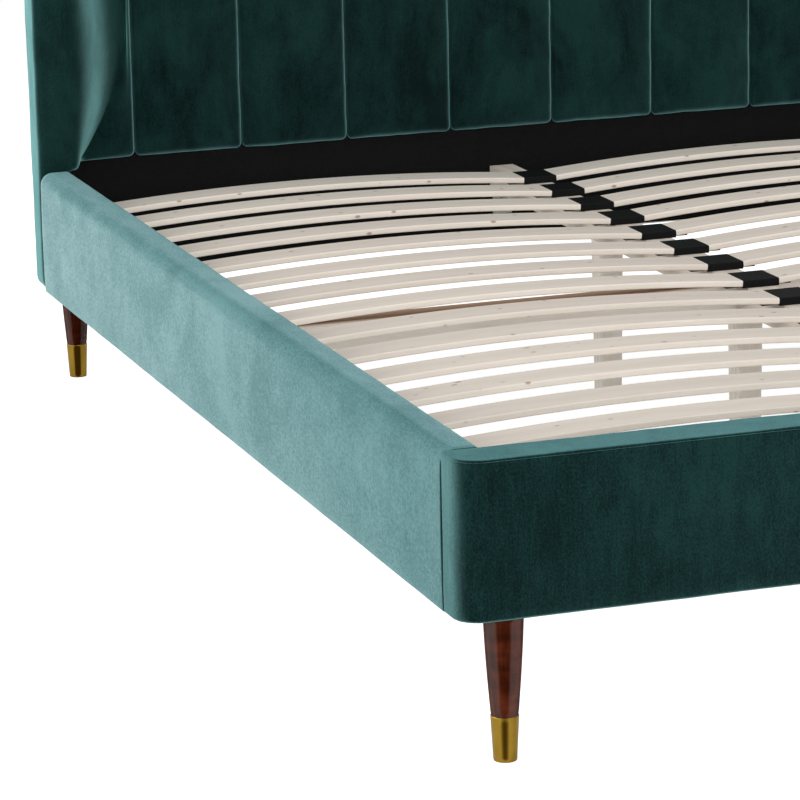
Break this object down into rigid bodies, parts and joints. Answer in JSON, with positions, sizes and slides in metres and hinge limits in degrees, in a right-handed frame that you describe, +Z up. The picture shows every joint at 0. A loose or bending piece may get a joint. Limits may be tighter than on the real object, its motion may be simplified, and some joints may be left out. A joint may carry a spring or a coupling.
{
  "type": "double bed",
  "caption": "Upholstered double bed with a channelled winged headboard, padded rails, sprung slats on a timber centre rail and tapered legs with brass ferrules.",
  "frame": {"origin": "centre of the bounding box on the floor", "axes": "+Z up, +Y from the foot of the bed to its headboard, +X to the right seen from the foot"},
  "size_m": [1.744, 2.284, 1.12],
  "materials": {
    "velvet": "short pile velvet, dark teal face on and pale at a glancing angle",
    "lining": "matt black fibre cloth",
    "slat_wood": "pale limed plywood slats with rounded edges and small knots",
    "frame_wood": "bare pale timber with straight grain",
    "panel_wood": "bare plywood",
    "black_plastic": "black moulded plastic",
    "walnut": "turned wood, dark red brown, gloss lacquer",
    "brass": "satin brass",
    "steel": "zinc plated steel"
  },
  "bodies": {
    "root": {"side_cover_left": "velvet", "side_cover_right": "velvet", "foot_cover": "velvet", "wing_pad_left": "velvet", "wing_pad_right": "velvet", "headboard_back": "velvet", "channel_pad_1": "velvet", "channel_pad_2": "velvet", "channel_pad_3": "velvet", "channel_pad_4": "velvet", "channel_pad_5": "velvet", "channel_pad_6": "velvet", "channel_pad_7": "velvet", "headboard_lining": "lining", "slat_row_01": "slat_wood", "slat_row_02": "slat_wood", "slat_row_03": "slat_wood", "slat_row_04": "slat_wood", "slat_row_05": "slat_wood", "slat_row_06": "slat_wood", "slat_row_07": "slat_wood", "slat_row_08": "slat_wood", "slat_row_09": "slat_wood", "slat_row_10": "slat_wood", "slat_row_11": "slat_wood", "slat_row_12": "slat_wood", "slat_row_13": "slat_wood", "slat_row_14": "slat_wood", "slat_row_15": "slat_wood", "side_board_left": "frame_wood", "side_board_right": "frame_wood", "foot_board": "frame_wood", "slat_ledge_left": "frame_wood", "slat_ledge_right": "frame_wood", "centre_rail": "frame_wood", "cross_rail_left": "frame_wood", "cross_rail_right": "frame_wood", "centre_post_head": "frame_wood", "centre_post_middle": "frame_wood", "centre_post_foot": "frame_wood", "wing_board_left": "frame_wood", "wing_board_right": "frame_wood", "headboard_upright_left": "frame_wood", "headboard_upright_right": "frame_wood", "headboard_battens": "frame_wood", "headboard_panel": "panel_wood", "centre_caps": "black_plastic", "end_caps": "black_plastic", "leg_front_left": "walnut", "leg_front_right": "walnut", "leg_rear_left": "walnut", "leg_rear_right": "walnut", "ferrule_front_left": "brass", "ferrule_front_right": "brass", "ferrule_rear_left": "brass", "ferrule_rear_right": "brass", "brackets": "steel", "bolts": "steel"}
  },
  "joints": []
}
